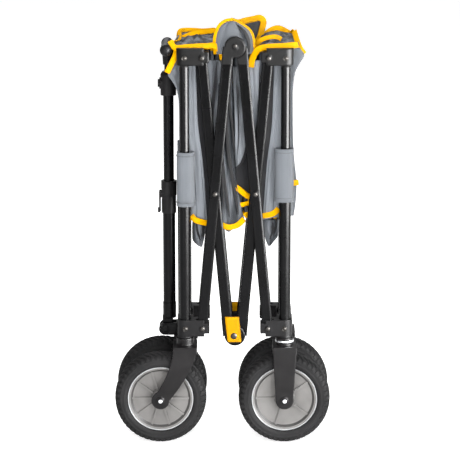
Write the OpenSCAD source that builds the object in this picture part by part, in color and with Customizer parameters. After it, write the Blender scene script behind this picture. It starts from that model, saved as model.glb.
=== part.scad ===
// Folding wagon with pull handle, stored folded. Millimetres.
// +Z up, the handle and casters at -X, the near side at -Y, origin on the floor at the centre.

/* [Frame] */
// Gap in X between the front and rear corner posts, folded
post_gap = 192; // [185:1:200]
// Height of the lower corner pivots
low_z = 229; // [220:1:240]
// Length of a bar from its corner pivot to the crossing
half_bar = 264.5; // [250:0.5:280]
// Length of a side bar from the crossing to its middle pivot
mid_bar = 284; // [275:0.5:292]
// Sideways offset of the middle pivot from the bar's centre line
mid_off = 12.5; // [10:0.5:14]
// Lean of each bar when folded
lean = 5.29; // [5:0.01:6]
// Distance from a post's axis to its pivots
arm = 33; // [31:0.5:36]

/* [Bars] */
// Width of a bar
bar_w = 20; // [16:1:22]
// Thickness of a bar
bar_t = 10; // [8:0.5:11]
// Distance of each bar layer from the post's axis
layer = 6; // [5.8:0.1:7]
// Radius of the cap at a middle pivot
cap_r = 20; // [16:1:21]
// Length of the cap on a side bar's end
cap_len = 36; // [26:1:40]

/* [Posts] */
// Outer radius of a lower post
low_r = 11; // [10:0.5:12]
// Outer radius of an upper post
up_r = 8.9; // [8:0.1:9.5]
// Top of a lower post
low_top = 529; // [500:1:535]
// Bottom of an upper post
up_bottom = 412; // [405:1:430]
// Height of a corner hub
hub_h = 32; // [28:1:36]

/* [Wheels] */
// Radius of a wheel
wheel_r = 89; // [85:1:95]
// Width of a tyre
tyre_w = 45; // [40:1:48]
// Radius of the rim
rim_r = 63.5; // [60:0.5:66]
// Trail of a caster
trail = 48; // [44:1:52]
// Lugs round a tyre
lugs = 40; // [30:1:48]
// Ribs on a front rim
front_ribs = 10; // [8:1:12]
// Ribs on a rear rim
rear_ribs = 5; // [4:1:12]
// Width of a fork over its legs
fork_w = 64; // [60:1:68]

/* [Handle] */
// X of the handle tube's axis
tube_x = -103.5; // [-106:0.5:-102]
// X of the handle's pivot
pivot_x = -112; // [-116:0.5:-108]
// Height of the handle's pivot
pivot_z = 213; // [208:1:218]
// Length of the grip
grip_w = 118; // [100:1:130]

/* [Fabric] */
// Height of the bottom edge of the walls
wall_z = 438; // [436:1:470]
// Height of the top edge of the walls
wall_top = 776; // [760:1:780]
// Depth of a folded wall over its gathers
wall_t = 14; // [6:1:14]

/* [Hidden] */
$fn = 48;
gap = 0.5;                      // clearance between bodies side by side
run = 0.05;                     // radial clearance of a running pin
play = 0.3;                     // radial clearance of a loose pin
pin_r = 4;
head_r = 6.5;                   // a washer that keeps a pin in
rivet_r = 4.5;                  // a rivet head that shows
spread = half_bar * sin(lean);  // half the distance between paired corner pivots
rise = half_bar * cos(lean);    // half the height between them
post_y = arm + spread;
post_xf = -post_gap / 2 + trail / 2;
post_xr = post_gap / 2 + trail / 2;
mid_x = (post_xf + post_xr) / 2;
cross_z = low_z + rise;
top_z = low_z + 2 * rise;
bar_len = half_bar + mid_bar;
slot = bar_t / 2 + gap;         // half width of the slot a bar turns in
cheek = layer + slot + 3;       // half thickness of a hub
axle_z = wheel_r;
crown_z = 182;                  // underside of a fork's crown
crown_top = 195;
low_face = low_z - hub_h / 2 - 4;
leg_t = 5;
axle_r = 5;
stem_r = 6;                     // a caster's stem
sleeve_r = low_r + 0.8;
wall_y = 41;                    // outer face of a side wall
wall_xf = post_xf + 16;         // outer face of the front wall
wall_xr = post_xr - 16;         // outer face of the rear wall
mid_tube_r = 10;
in_tube_r = 7.5;
out_tube_r = 12;

// ---- placing ----
module corner(rear, far) {
    translate([rear ? post_xr : post_xf, far ? post_y : -post_y, 0])
        mirror([rear ? 1 : 0, 0, 0]) mirror([0, far ? 1 : 0, 0]) children();
}
module along_y(r, y0, y1) { translate([0, y0, 0]) rotate([-90, 0, 0]) cylinder(r = r, h = y1 - y0); }
module along_x(r, x0, x1) { translate([x0, 0, 0]) rotate([0, 90, 0]) cylinder(r = r, h = x1 - x0); }
module box(a, b) { translate(a) cube([b[0] - a[0], b[1] - a[1], b[2] - a[2]]); }
module tube(r, bore, z0, z1) {
    difference() {
        translate([0, 0, z0]) cylinder(r = r, h = z1 - z0);
        translate([0, 0, z0 - 1]) cylinder(r = bore, h = z1 - z0 + 2);
    }
}
// a low round head on a face at y, standing out towards dir
module rivet_head(y, dir) { along_y(rivet_r, min(y, y + dir * 1.6), max(y, y + dir * 1.6)); }
module rounded_bar(z0, z1) {
    c = 2;
    translate([0, 0, z0]) linear_extrude(z1 - z0) {
        square([bar_w, bar_t - 2 * c], center = true);
        square([bar_w - 2 * c, bar_t], center = true);
        for (x = [-1, 1], y = [-1, 1]) translate([x * (bar_w / 2 - c), y * (bar_t / 2 - c)]) circle(c, $fn = 24);
    }
}

// ---- side bars: in a corner's own frame, leaning from the lower pivot to the middle of the side ----
// half_side is -1 when the end's eye is the outer half of the layer and 1 when it is the inner half
module side_bar(half_side, crossing_pin, eye_play) {
    difference() {
        union() {
            rounded_bar(0, bar_len - cap_r + 4);
            along_y(bar_w / 2, -bar_t / 2, bar_t / 2);
            // end cap
            translate([-bar_w / 2 - 0.5, -bar_t / 2, bar_len - cap_len]) cube([bar_w + 1, bar_t, cap_len]);
            translate([mid_off, 0, bar_len])
                along_y(cap_r, half_side < 0 ? -bar_t / 2 : 0.2, half_side < 0 ? -0.2 : bar_t / 2);
            if (half_side < 0) translate([mid_off, 0, bar_len]) {
                along_y(pin_r, -bar_t / 2, bar_t / 2 + gap + 1.4);
                rivet_head(-bar_t / 2, -1);
            }
            if (crossing_pin) translate([0, 0, half_bar]) {
                along_y(pin_r, 0, 2 * layer + bar_t / 2 + gap + 1.4);
                rivet_head(-bar_t / 2, -1);
                translate([0, 2 * layer + bar_t / 2 + gap, 0]) along_y(head_r, 0, 1.4);
            }
        }
        along_y(pin_r + run, -bar_t, bar_t);
        // room for the other bar's eye
        difference() {
            translate([mid_off, 0, bar_len])
                along_y(cap_r + gap, half_side < 0 ? -0.2 : -bar_t, half_side < 0 ? bar_t : 0.2);
            if (half_side < 0) translate([mid_off, 0, bar_len]) along_y(pin_r, -bar_t, 2 * bar_t);
        }
        // the cap's end is cut round
        difference() {
            translate([-bar_w, -bar_t, bar_len - 1]) cube([bar_w * 3, 2 * bar_t, cap_r * 2]);
            translate([mid_off, 0, bar_len]) along_y(cap_r, -2 * bar_t, 2 * bar_t);
        }
        if (half_side > 0) translate([mid_off, 0, bar_len]) along_y(pin_r + eye_play, -bar_t, bar_t);
        if (!crossing_pin) translate([0, 0, half_bar]) along_y(pin_r + run, -bar_t, bar_t);
    }
    if (half_side < 0) translate([mid_off, bar_t / 2 + gap, bar_len]) along_y(head_r, 0, 1.4);
}
module rising_bar(half_side) {
    color([0.09, 0.09, 0.10]) translate([arm, -layer, low_z]) rotate([0, lean, 0])
        side_bar(half_side, true, run);
}
module falling_bar(half_side) {
    color([0.09, 0.09, 0.10]) translate([arm, layer, top_z]) mirror([0, 0, 1]) rotate([0, lean, 0])
        side_bar(half_side, false, play);
}

// ---- end bars: from a lower corner up to the opposite top corner ----
// role 0 turns on the other bar's pin, 1 carries the pin, 2 also seats the hanger's pin
module end_bar(plane, role, foot_play) {
    pin_end = -2 * layer - bar_t / 2 - gap;
    color([0.09, 0.09, 0.10]) translate([plane, arm, low_z]) rotate([-lean, 0, 0]) rotate([0, 0, 90]) difference() {
        union() {
            rounded_bar(0, 2 * half_bar);
            for (z = [0, 2 * half_bar]) translate([0, 0, z]) along_y(bar_w / 2, -bar_t / 2, bar_t / 2);
            if (role > 0) translate([0, 0, half_bar]) {
                along_y(pin_r, pin_end - 1.4, 0);
                along_y(head_r, pin_end - 1.4, pin_end);
            }
        }
        along_y(pin_r + foot_play, -bar_t, bar_t);
        translate([0, 0, 2 * half_bar]) along_y(pin_r + play, -bar_t, bar_t);
        if (role == 0) translate([0, 0, half_bar]) along_y(pin_r + run, -bar_t, bar_t);
        if (role == 2) translate([0, 0, half_bar]) along_y(pin_r + run, -bar_t / 2 + 2, bar_t);
    }
}

// ---- corner hubs: an arm along X for a side bar and an arm along Y for an end bar ----
// side_at and end_at are the offsets of the slots that the two bars turn in
module hub(z, side_at, end_at, bore) {
    z0 = z - hub_h / 2;
    reach = arm + 14;
    difference() {
        union() {
            translate([0, 0, z0]) cylinder(r = cheek, h = hub_h);
            box([0, -cheek, z0], [reach - 10, cheek, z0 + hub_h]);
            box([reach - 10, -cheek, z0 + 6], [reach, cheek, z0 + hub_h - 6]);
            box([-cheek, 0, z0], [cheek, reach - 10, z0 + hub_h]);
            box([-cheek, reach - 10, z0 + 6], [cheek, reach, z0 + hub_h - 6]);
        }
        translate([0, 0, z0 - 1]) cylinder(r = bore, h = hub_h + 2);
        box([arm - bar_w / 2 - 2, side_at - slot, z0 - 1], [reach + 1, side_at + slot, z0 + hub_h + 1]);
        box([end_at - slot, arm - bar_w / 2 - 2, z0 - 1], [end_at + slot, reach + 1, z0 + hub_h + 1]);
    }
    translate([arm, 0, z]) {
        along_y(pin_r, side_at - slot - 1, side_at + slot + 1);
        rivet_head(-cheek, -1);
    }
    translate([0, arm, z]) {
        along_x(pin_r, end_at - slot - 1, end_at + slot + 1);
        along_x(rivet_r, -cheek - 1.6, -cheek);
    }
}
module low_hub(end_at) {
    color([0.07, 0.07, 0.075]) {
        hub(low_z, -layer, end_at, low_r);
        tube(15, stem_r + run, low_face, low_z - hub_h / 2);
    }
}
module low_post() {
    color([0.10, 0.10, 0.11]) {
        tube(low_r, up_r + 0.35, low_z - hub_h / 2 + 6, low_top);
        tube(low_r, stem_r + run, low_z - hub_h / 2, low_z - hub_h / 2 + 6);
    }
}
module upper(end_at) {
    lid = top_z + hub_h / 2 - 4;
    color([0.10, 0.10, 0.11]) {
        tube(up_r, up_r - 1.5, up_bottom, lid);
        hub(top_z, layer, end_at, up_r);
        translate([0, 0, lid]) cylinder(r = up_r + 0.5, h = 4);
    }
}

// ---- wheels: round their own axle, along Y ----
module tyre() {
    color([0.06, 0.06, 0.065]) rotate([90, 0, 0]) difference() {
        rotate_extrude($fn = 96) polygon([[rim_r, -tyre_w / 2 + 4], [rim_r + 7, -tyre_w / 2], [wheel_r - 7, -tyre_w / 2],
            [wheel_r, -tyre_w / 2 + 8], [wheel_r, tyre_w / 2 - 8], [wheel_r - 7, tyre_w / 2],
            [rim_r + 7, tyre_w / 2], [rim_r, tyre_w / 2 - 4]]);
        for (k = [0:lugs - 1], s = [-1, 1]) rotate([0, 0, (k + (s + 1) / 4) * 360 / lugs + 90 / lugs])
            translate([wheel_r - 2.5, s < 0 ? -4.5 : 0, s * (tyre_w / 4 + 3) - tyre_w / 4 + 3])
                cube([6, 4.5, tyre_w / 2 - 6]);
    }
}
module rim(ribs) {
    color([0.62, 0.63, 0.64]) difference() {
        union() {
            rotate([90, 0, 0]) rotate_extrude($fn = 96) polygon([[0, -13], [16, -13], [20, -10], [54, -12.5], [58, -17],
                [rim_r, -18.5], [rim_r, 18.5], [58, 17], [54, 12.5], [20, 10], [16, 13], [0, 13]]);
            for (k = [0:ribs - 1]) rotate([0, k * 360 / ribs, 0]) translate([18, -14, -2]) cube([39, 28, 4]);
        }
        along_y(axle_r + run, -30, 30);
    }
}
module wheel_at(rear, far) {
    corner(rear, far) translate([rear ? 0 : -trail, 0, axle_z]) children();
}
// a leg in the plane of the wheel: it sweeps forward by run_out and tapers to a round end
function sweep(t, run_out, side) =
    [-run_out * pow(t, 1.7) + side * (23 - 6 * t), crown_top - (crown_top - axle_z) * t];
module leg_shape(run_out) {
    steps = 8;
    polygon(concat([for (k = [0:steps]) sweep(k / steps, run_out, 1)],
        [for (k = [steps:-1:0]) sweep(k / steps, run_out, -1)]));
    translate([-run_out, axle_z]) circle(17);
}
module fork(run_out) {
    for (s = [-1, 1]) translate([0, s * (fork_w - leg_t) / 2 + leg_t / 2, 0]) rotate([90, 0, 0])
        linear_extrude(leg_t) leg_shape(run_out);
    box([-23, -fork_w / 2, crown_z], [23, fork_w / 2, crown_top]);
    // axle with its nuts
    translate([-run_out, 0, axle_z]) {
        along_y(axle_r, -fork_w / 2, fork_w / 2);
        for (s = [-1, 1]) along_y(7, s < 0 ? -fork_w / 2 - 4 : fork_w / 2, s < 0 ? -fork_w / 2 : fork_w / 2 + 4);
        for (s = [-1, 1]) along_y(9, s < 0 ? -fork_w / 2 + leg_t - 1 : 13.5, s < 0 ? -13.5 : fork_w / 2 - leg_t + 1);
    }
}
module caster() {
    color([0.07, 0.07, 0.075]) {
        fork(trail);
        translate([0, 0, crown_top - 1]) cylinder(r = 17, h = low_face - gap - crown_top + 1);
        translate([0, 0, crown_top]) cylinder(r = stem_r, h = 22);
    }
}
module rear_fork() {
    color([0.07, 0.07, 0.075]) {
        fork(0);
        translate([0, 0, crown_top - 1]) cylinder(r = 17, h = low_face - crown_top + 1);
        translate([0, 0, crown_top]) cylinder(r = stem_r, h = 22);
    }
}

// ---- handle ----
hang_t = 3;
hang_x = post_xf - layer - bar_t / 2 - gap;   // back face of the hanger's strip
clevis_x = post_xf - cheek - 0.7;             // back face of the wide clevis
tube_foot = pivot_z + 24;
module hanger() {
    x0 = hang_x - hang_t;
    color([0.08, 0.08, 0.085]) {
        box([x0, -8, pivot_z - 12], [hang_x, 8, cross_z]);
        translate([0, 0, cross_z]) {
            along_x(9, x0, hang_x);
            along_x(head_r, x0 - 1.2, x0);
            along_x(pin_r, hang_x - 1, hang_x + gap + bar_t - 2.3);
        }
        box([clevis_x - 2, -8, pivot_z - 12], [x0 + 1, 8, pivot_z + 12]);
        difference() {
            union() {
                box([pivot_x, -15, pivot_z - 12], [clevis_x, 15, pivot_z + 12]);
                translate([pivot_x, 0, pivot_z]) along_y(12, -15, 15);
            }
            box([pivot_x - 20, -9.5, pivot_z - 20], [clevis_x - 3, 9.5, pivot_z + 20]);
        }
        translate([pivot_x, 0, pivot_z]) along_y(pin_r, -17, 17);
        for (s = [-1, 1]) translate([pivot_x, 0, pivot_z]) along_y(head_r, s < 0 ? -17 : 15, s < 0 ? -15 : 17);
    }
}
module handle_outer() {
    color([0.10, 0.10, 0.11]) {
        translate([tube_x, 0, 0]) {
            tube(out_tube_r, mid_tube_r + 0.35, tube_foot, 500);
            tube(out_tube_r + 0.9, out_tube_r, tube_foot - 3, tube_foot + 27);
            translate([0, 0, tube_foot - 3]) cylinder(r = out_tube_r, h = 6);
        }
        difference() {
            union() {
                translate([pivot_x, 0, pivot_z]) along_y(10, -8.8, 8.8);
                box([pivot_x - 5, -8.8, pivot_z], [tube_x + 7, 8.8, tube_foot]);
            }
            translate([pivot_x, 0, pivot_z]) along_y(pin_r + run, -12, 12);
        }
    }
}
module lower_lock() {
    color([0.06, 0.06, 0.065]) translate([tube_x, 0, 0]) {
        difference() {
            union() {
                translate([0, 0, 443]) cylinder(r = 14, h = 63);
                translate([0, 0, 478]) cylinder(r = 15, h = 28);
                // lever ears
                for (s = [-1, 1]) box([-19, s < 0 ? -9 : 6, 474], [-10, s < 0 ? -6 : 9, 486]);
            }
            translate([0, 0, 440]) cylinder(r = out_tube_r, h = 60);
            translate([0, 0, 490]) cylinder(r = mid_tube_r + 0.35, h = 20);
            box([-20, -6, 470], [-13.4, 6, 490]);
        }
        translate([-16.5, 0, 480]) along_y(1.5, -7, 7);
    }
}
module lock_lever() {
    color([0.05, 0.05, 0.055]) translate([tube_x - 16.5, 0, 480]) difference() {
        union() {
            along_y(2.6, -5.5, 5.5);
            box([-2.6, -5.5, -34], [0.9, 5.5, 0]);
            box([-5, -5.5, -36], [-0.4, 5.5, -28]);
        }
        along_y(1.5 + run, -8, 8);
    }
}
module handle_mid() {
    color([0.10, 0.10, 0.11]) translate([tube_x, 0, 0]) tube(mid_tube_r, in_tube_r + 0.35, 262, 690);
}
module upper_lock() {
    color([0.06, 0.06, 0.065]) translate([tube_x, 0, 0]) difference() {
        union() {
            translate([0, 0, 673]) cylinder(r = 15, h = 40);
            translate([0, 0, 713]) cylinder(r1 = 15, r2 = 11.5, h = 6);
            translate([-4, 0, 696]) rotate([0, -90, 0]) cylinder(r = 11, h = 13);
        }
        translate([0, 0, 670]) cylinder(r = mid_tube_r, h = 20);
        translate([0, 0, 680]) cylinder(r = in_tube_r + 0.35, h = 45);
        translate([-11.5, 0, 696]) rotate([0, -90, 0]) cylinder(r = 8, h = 20);
    }
}
module release_button() {
    color([0.16, 0.16, 0.17]) translate([tube_x, 0, 0]) translate([-15.2, 0, 696]) rotate([0, -90, 0])
        cylinder(r = 7.6, h = 4.8);
}
module handle_inner() {
    color([0.10, 0.10, 0.11]) translate([tube_x, 0, 0]) tube(in_tube_r, in_tube_r - 1.5, 440, 752);
}
module grip() {
    color([0.06, 0.06, 0.065]) translate([tube_x, 0, 0]) difference() {
        union() {
            translate([0, 0, 732]) cylinder(r1 = 10, r2 = 12, h = 30);
            translate([-3, 0, 766]) {
                along_y(10.5, -grip_w / 2 + 11, grip_w / 2 - 11);
                for (s = [-1, 1]) translate([0, s * (grip_w / 2 - 11), 0]) sphere(11.5);
            }
        }
        translate([0, 0, 730]) cylinder(r = in_tube_r, h = 22);
    }
}

// ---- strap ends at the lower middle pivots ----
module strap() {
    z = top_z - bar_len * cos(lean) + mid_off * sin(lean);
    y = -post_y + layer - bar_t / 2 - 1.6;
    color([0.93, 0.72, 0.08]) translate([mid_x - 3, y - 1.2, z + 12]) rotate([0, -6, 0])
        translate([-13.5, 0, -24]) cube([27, 1.2, 50]);
}

// ---- fabric, folded ----
cloth = [0.36, 0.38, 0.40];
module sleeve() { tube(sleeve_r + 3, sleeve_r, 472, 576); }
// a sleeve with the seam that joins it to a side wall
module sewn_sleeve() {
    difference() {
        union() {
            translate([0, 0, 472]) cylinder(r = sleeve_r + 3, h = 104);
            box([8, 10, 476], [17, 17, 572]);
        }
        translate([0, 0, 470]) cylinder(r = sleeve_r, h = 120);
    }
}
module wall_panel(x0, x1, y0, y1) { box([x0, y0, wall_z], [x1, y1, wall_top]); }
// half of the dome of gathered cloth over the middle of the near wall
module dome(x0, x1) {
    intersection() {
        translate([mid_x, 0, wall_top + 12]) along_y(36, -wall_y, -wall_y + 14);
        box([x0, -wall_y, wall_top - 12], [x1, -wall_y + 14, wall_top + 60]);
    }
}
module wall_corner() {
    color(cloth) {
        wall_panel(wall_xf, mid_x - 4, -wall_y, -wall_y + wall_t);
        wall_panel(wall_xf, wall_xf + wall_t, -wall_y, -4);
        dome(mid_x - 40, mid_x - 4);
        corner(false, false) sewn_sleeve();
    }
}
module wall_near_rear() {
    color(cloth) {
        wall_panel(mid_x + 4, wall_xr - wall_t - 1, -wall_y, -wall_y + wall_t);
        dome(mid_x + 4, mid_x + 40);
    }
}
module wall_front_far() { color(cloth) wall_panel(wall_xf, wall_xf + wall_t, 4, wall_y - wall_t - 1); }
module wall_far_front() {
    color(cloth) {
        wall_panel(wall_xf, mid_x - 4, wall_y - wall_t, wall_y);
        corner(false, true) sewn_sleeve();
    }
}
module wall_far_rear() { color(cloth) wall_panel(mid_x + 4, wall_xr - wall_t - 1, wall_y - wall_t, wall_y); }
module wall_rear_near() {
    color(cloth) {
        wall_panel(wall_xr - wall_t, wall_xr, -wall_y, -4);
        corner(true, false) sewn_sleeve();
    }
}
module wall_rear_far() { color(cloth) wall_panel(wall_xr - wall_t, wall_xr, 4, wall_y - wall_t - 1); }
module sleeve_rf() { color(cloth) corner(true, true) sleeve(); }

leaf_t = 2.5;
leaf_y = 20;
leaf_z = wall_z + 6;
near_leaf = 160;
far_leaf = 234;
module leaf(x0, x1, y, height) {
    color([0.13, 0.13, 0.14]) box([x0, y - leaf_t / 2, leaf_z], [x1, y + leaf_t / 2, leaf_z + height]);
}
module floor_near() { leaf(wall_xf + wall_t + 2, mid_x - 4, -leaf_y, near_leaf); }
module floor_near_rear() { leaf(mid_x + 4, wall_xr - wall_t - 2, -leaf_y, near_leaf); }
module floor_far() { leaf(wall_xf + wall_t + 2, mid_x - 4, leaf_y, far_leaf); }
module floor_far_rear() { leaf(mid_x + 4, wall_xr - wall_t - 2, leaf_y, far_leaf); }

// ---- the four corners ----
module post_fn() { corner(false, false) low_post(); }
module post_ff() { corner(false, true) low_post(); }
module post_rn() { corner(true, false) low_post(); }
module post_rf() { corner(true, true) low_post(); }
module hub_low_fn() { corner(false, false) low_hub(-layer); }
module hub_low_ff() { corner(false, true) low_hub(layer); }
module hub_low_rn() { corner(true, false) low_hub(-layer); }
module hub_low_rf() { corner(true, true) low_hub(layer); }
module upper_fn() { corner(false, false) upper(layer); }
module upper_ff() { corner(false, true) upper(-layer); }
module upper_rn() { corner(true, false) upper(layer); }
module upper_rf() { corner(true, true) upper(-layer); }
module rise_fn() { corner(false, false) rising_bar(-1); }
module fall_fn() { corner(false, false) falling_bar(-1); }
module rise_ff() { corner(false, true) rising_bar(-1); }
module fall_ff() { corner(false, true) falling_bar(-1); }
module rise_rn() { corner(true, false) rising_bar(1); }
module fall_rn() { corner(true, false) falling_bar(1); }
module rise_rf() { corner(true, true) rising_bar(1); }
module fall_rf() { corner(true, true) falling_bar(1); }
module front_bar_near() { corner(false, false) end_bar(-layer, 2, run); }
module front_bar_far() { corner(false, true) end_bar(layer, 0, run); }
module rear_bar_near() { corner(true, false) end_bar(-layer, 1, run); }
module rear_bar_far() { corner(true, true) end_bar(layer, 0, play); }
module tyre_fn() { wheel_at(false, false) tyre(); }
module rim_fn() { wheel_at(false, false) rim(front_ribs); }
module tyre_ff() { wheel_at(false, true) tyre(); }
module rim_ff() { wheel_at(false, true) rim(front_ribs); }
module tyre_rn() { wheel_at(true, false) tyre(); }
module rim_rn() { wheel_at(true, false) rim(rear_ribs); }
module tyre_rf() { wheel_at(true, true) tyre(); }
module rim_rf() { wheel_at(true, true) rim(rear_ribs); }
module caster_fn() { corner(false, false) caster(); }
module caster_ff() { corner(false, true) caster(); }
module fork_rn() { corner(true, false) rear_fork(); }
module fork_rf() { corner(true, true) rear_fork(); }
module strap_near() { strap(); }
module strap_far() { mirror([0, 1, 0]) strap(); }

post_fn();
post_ff();
post_rn();
post_rf();
hub_low_fn();
hub_low_ff();
hub_low_rn();
hub_low_rf();
upper_fn();
upper_ff();
upper_rn();
upper_rf();
rise_fn();
fall_fn();
rise_ff();
fall_ff();
rise_rn();
fall_rn();
rise_rf();
fall_rf();
front_bar_near();
front_bar_far();
rear_bar_near();
rear_bar_far();
tyre_fn();
rim_fn();
tyre_ff();
rim_ff();
tyre_rn();
rim_rn();
tyre_rf();
rim_rf();
caster_fn();
caster_ff();
fork_rn();
fork_rf();
hanger();
handle_outer();
lower_lock();
lock_lever();
handle_mid();
upper_lock();
release_button();
handle_inner();
grip();
strap_near();
strap_far();
wall_corner();
wall_near_rear();
wall_front_far();
wall_far_front();
wall_far_rear();
wall_rear_near();
wall_rear_far();
sleeve_rf();
floor_near();
floor_near_rear();
floor_far();
floor_far_rear();
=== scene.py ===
"""Folding wagon with pull handle, stored folded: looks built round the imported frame. Metres, handle at -X."""
import math
import bpy
from mathutils import Matrix, Vector, noise


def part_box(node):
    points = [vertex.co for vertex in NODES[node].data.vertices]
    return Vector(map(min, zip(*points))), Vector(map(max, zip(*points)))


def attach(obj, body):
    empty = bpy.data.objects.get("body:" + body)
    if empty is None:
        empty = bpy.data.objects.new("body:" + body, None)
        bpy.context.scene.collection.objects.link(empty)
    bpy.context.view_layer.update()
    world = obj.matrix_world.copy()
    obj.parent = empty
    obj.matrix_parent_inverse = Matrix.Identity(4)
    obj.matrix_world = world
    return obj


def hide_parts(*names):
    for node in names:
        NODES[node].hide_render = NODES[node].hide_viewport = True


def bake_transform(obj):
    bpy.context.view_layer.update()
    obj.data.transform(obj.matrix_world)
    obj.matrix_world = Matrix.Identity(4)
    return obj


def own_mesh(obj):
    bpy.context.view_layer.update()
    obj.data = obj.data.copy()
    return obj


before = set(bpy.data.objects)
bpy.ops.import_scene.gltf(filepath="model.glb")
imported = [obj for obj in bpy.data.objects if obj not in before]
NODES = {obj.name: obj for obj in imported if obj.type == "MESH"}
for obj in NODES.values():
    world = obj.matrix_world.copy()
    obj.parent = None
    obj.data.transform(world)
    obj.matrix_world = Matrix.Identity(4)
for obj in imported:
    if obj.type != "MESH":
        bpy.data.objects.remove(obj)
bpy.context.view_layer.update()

MM = 0.001
TAU = 2 * math.pi


# ------------------------------------------------------------------ materials
class Graph:
    """A short way to wire a material's nodes."""

    def __init__(self, name):
        self.material = bpy.data.materials.new(name)
        self.material.use_nodes = True
        self.tree = self.material.node_tree
        self.shader = self.tree.nodes["Principled BSDF"]
        self.coords = self.tree.nodes.new("ShaderNodeTexCoord")

    def node(self, kind, inputs=(), **settings):
        made = self.tree.nodes.new("ShaderNode" + kind)
        for key, value in settings.items():
            setattr(made, key, value)
        for key, value in dict(inputs).items():
            if hasattr(value, "is_output"):
                self.tree.links.new(value, made.inputs[key])
            else:
                made.inputs[key].default_value = value
        return made

    def noise(self, scale, detail=2.0, stretch=(1, 1, 1), rough=0.5):
        mapped = self.node("Mapping", {"Vector": self.coords.outputs["Object"], "Scale": stretch})
        return self.node("TexNoise", {"Vector": mapped.outputs[0], "Scale": scale, "Detail": detail,
                                      "Roughness": rough}).outputs[0]

    def waves(self, scale, direction, distortion=0.0):
        return self.node("TexWave", {"Vector": self.coords.outputs["Object"], "Scale": scale,
                                     "Distortion": distortion}, bands_direction=direction).outputs[1]

    def ramp(self, factor, low, high, lo=0.0, hi=1.0):
        made = self.node("ValToRGB", {"Fac": factor})
        stops = made.color_ramp.elements
        stops[0].position, stops[1].position = lo, hi
        stops[0].color = (*low, 1) if hasattr(low, "__len__") else (low, low, low, 1)
        stops[1].color = (*high, 1) if hasattr(high, "__len__") else (high, high, high, 1)
        return made.outputs[0]

    def math(self, operation, a, b):
        return self.node("Math", {0: a, 1: b}, operation=operation).outputs[0]

    def set(self, **sockets):
        for key, value in sockets.items():
            socket = self.shader.inputs[key.replace("_", " ")]
            if hasattr(value, "is_output"):
                self.tree.links.new(value, socket)
            else:
                socket.default_value = value

    def bump(self, height, strength, distance, rounded=0.0):
        made = self.node("Bump", {"Height": height, "Strength": strength, "Distance": distance})
        if rounded:
            soft = self.node("Bevel", {"Radius": rounded}, samples=6)
            self.tree.links.new(soft.outputs[0], made.inputs["Normal"])
        self.tree.links.new(made.outputs[0], self.shader.inputs["Normal"])


def painted(name, low, high, rough_low, rough_high, grain=900, grain_depth=0.00012, strength=0.25, gloss=0.5,
            rounded=0.0):
    """Powder coat or moulded plastic: slight cloudiness and a fine grain."""
    g = Graph(name)
    cloud = g.noise(22, 4)
    g.set(Base_Color=g.ramp(cloud, low, high, 0.35, 0.7),
          Roughness=g.ramp(g.noise(60, 3), rough_low, rough_high, 0.3, 0.7), Specular_IOR_Level=gloss)
    g.bump(g.noise(grain, 2), strength, grain_depth, rounded)
    return g.material


def woven(name, low, high, rough=0.85, pitch=0.0011, sheen=0.25, wrinkle=0.35, gloss=0.1, shade_streaks=(14, 0.35),
          lo=0.25, hi=0.75):
    """Plain-weave polyester: crossed threads, soft creases, and painted shade in upright streaks that stand in
    for the shade of folds.
    """
    g = Graph(name)
    per_metre = TAU / pitch / 20
    warp = g.waves(per_metre, "X", 0.4)
    weft = g.waves(per_metre, "Z", 0.4)
    across = g.waves(per_metre, "Y", 0.4)
    threads = g.math("ADD", g.math("MULTIPLY", warp, weft), g.math("MULTIPLY", across, weft))
    # painted shade: stretched noise darkens upright streaks as if folds shaded them; the threads add their own
    # faint tone
    thread_tone_and_shade = g.math("ADD", g.math("MULTIPLY", g.noise(shade_streaks[0], 3, (1, 1, shade_streaks[1])), 0.8),
                  g.math("MULTIPLY", threads, 0.10))
    creases = g.noise(55, 4, (1, 1, 0.45))
    height = g.math("ADD", g.math("MULTIPLY", threads, 0.22), g.math("MULTIPLY", creases, wrinkle * 4))
    g.set(Base_Color=g.ramp(thread_tone_and_shade, low, high, lo, hi), Roughness=rough, Sheen_Weight=sheen,
          Sheen_Roughness=0.5, Specular_IOR_Level=gloss)
    g.bump(height, 0.5, 0.0012)
    return g.material


STEEL_DARK, STEEL_LIGHT = (0.0014, 0.0014, 0.0016), (0.0030, 0.0030, 0.0034)
STEEL = painted("black_powder_coat", STEEL_DARK, STEEL_LIGHT, 0.16, 0.22, 300, 0.00002, 0.02,
                gloss=0.07, rounded=0.0055)
PLASTIC = painted("black_moulded_plastic", (0.0055, 0.0053, 0.0057), (0.0094, 0.0090, 0.0096), 0.38, 0.50,
                  1400, 0.0002, 0.3, 0.065, 0.002)
FORK = painted("fork_powder_coat", (0.005, 0.0045, 0.0048), (0.009, 0.0082, 0.0086), 0.28, 0.40, gloss=0.10,
               rounded=0.003)
ZINC = painted("zinc_plate", (0.52, 0.53, 0.55), (0.68, 0.69, 0.71), 0.22, 0.34)
ZINC.node_tree.nodes["Principled BSDF"].inputs["Metallic"].default_value = 1.0
BRONZE = painted("dark_rivet", (0.012, 0.011, 0.010), (0.026, 0.024, 0.022), 0.36, 0.48)
BRONZE.node_tree.nodes["Principled BSDF"].inputs["Metallic"].default_value = 0.85


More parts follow.
